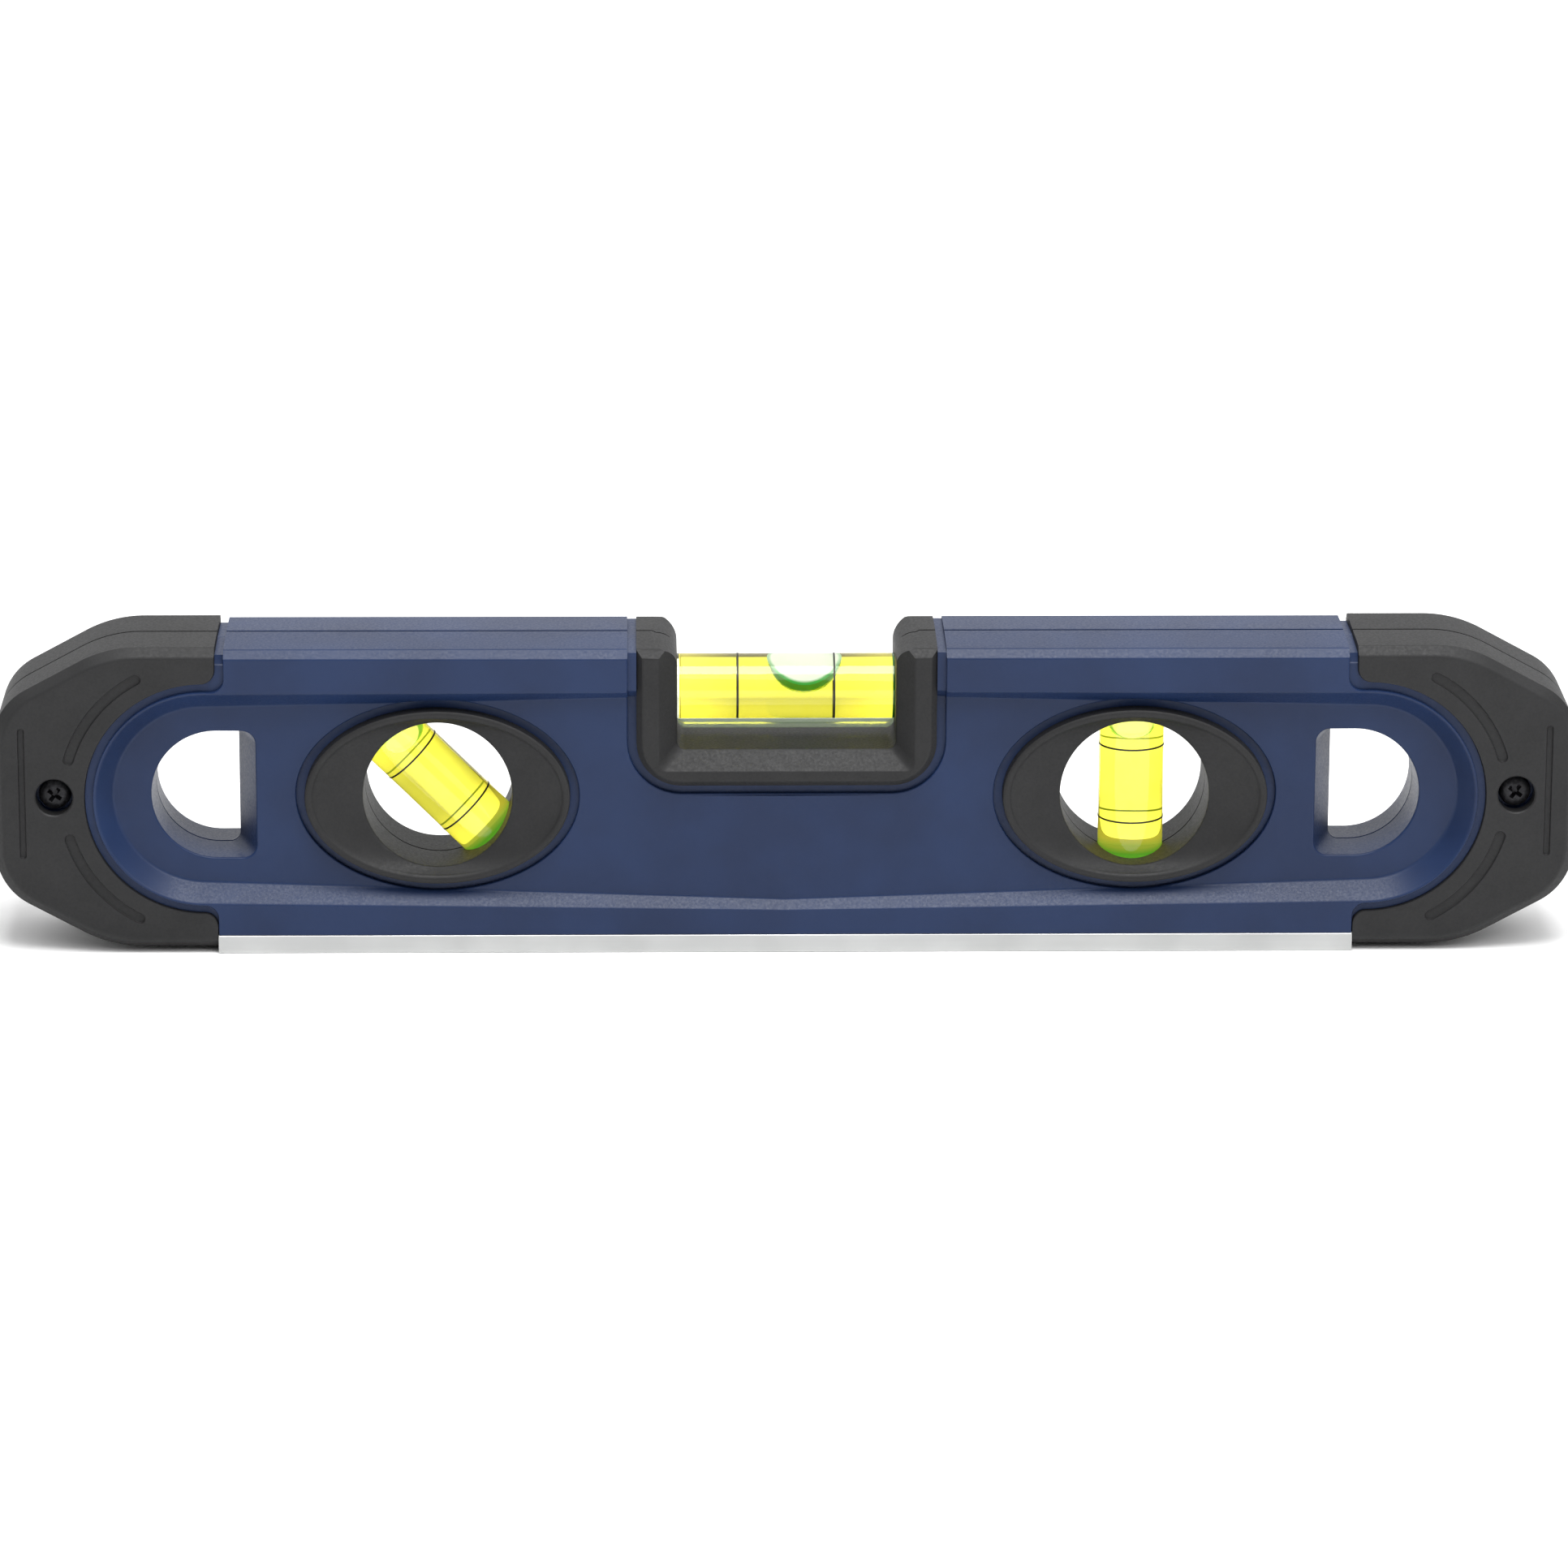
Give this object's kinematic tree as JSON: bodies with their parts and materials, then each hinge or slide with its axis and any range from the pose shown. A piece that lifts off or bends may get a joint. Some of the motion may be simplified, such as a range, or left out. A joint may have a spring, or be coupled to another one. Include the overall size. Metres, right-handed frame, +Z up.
{
  "type": "spirit level",
  "caption": "Torpedo spirit level with moulded half shells, soft grips, level, plumb and 45 degree vials, and a metal base rail.",
  "frame": {"origin": "middle of the flat base of the rail, on the ground plane", "axes": "+X along the level towards the plumb vial's end, +Y from the front face to the rear face, +Z up"},
  "size_m": [0.229, 0.021, 0.0457],
  "materials": {
    "housing": "moulded navy ABS with a fine satin texture",
    "soft_trim": "black soft-touch overmould, matt",
    "rail": "bare extruded aluminium, fine lengthwise grain",
    "magnet": "nickel-plated disc",
    "screw": "black oxide",
    "vial": "clear machined acrylic",
    "vial_plug": "clear acrylic plug, tinted by the liquid",
    "mark": "printed black ink",
    "liquid": "clear yellow-green spirit",
    "bubble": "air"
  },
  "bodies": {
    "level": {"front_shell": "housing", "rear_shell": "housing", "left_grip_front": "soft_trim", "left_grip_rear": "soft_trim", "right_grip_front": "soft_trim", "right_grip_rear": "soft_trim", "saddle_front": "soft_trim", "saddle_rear": "soft_trim", "left_bezel_front": "soft_trim", "left_bezel_rear": "soft_trim", "right_bezel_front": "soft_trim", "right_bezel_rear": "soft_trim", "base_rail": "rail", "rail_magnets": "magnet", "clamp_screws": "screw", "centre_vial": "vial", "centre_vial_plug": "vial_plug", "centre_vial_marks": "mark", "centre_liquid": "liquid", "angle_vial": "vial", "angle_vial_plug": "vial_plug", "angle_vial_marks": "mark", "angle_liquid": "liquid", "plumb_vial": "vial", "plumb_vial_plug": "vial_plug", "plumb_vial_marks": "mark", "plumb_liquid": "liquid"},
    "centre_air": {"centre_bubble": "bubble"},
    "angle_air": {"angle_bubble": "bubble"},
    "plumb_air": {"plumb_bubble": "bubble"}
  },
  "joints": [
    {"name": "centre_bubble_slide", "type": "slide", "parent": "level", "child": "centre_air", "axis": [1, 0, 0], "range_m": [-0.0126, 0.0072], "stiffness_N_per_m": 1, "deforming": ["centre_liquid"]},
    {"name": "angle_bubble_slide", "type": "slide", "parent": "level", "child": "angle_air", "axis": [-0.7071, 0, 0.7071], "range_m": [-0.0179, 0], "stiffness_N_per_m": 5, "deforming": ["angle_liquid"]},
    {"name": "plumb_bubble_slide", "type": "slide", "parent": "level", "child": "plumb_air", "axis": [0, 0, 1], "range_m": [-0.0179, 0], "stiffness_N_per_m": 5, "deforming": ["plumb_liquid"]}
  ]
}
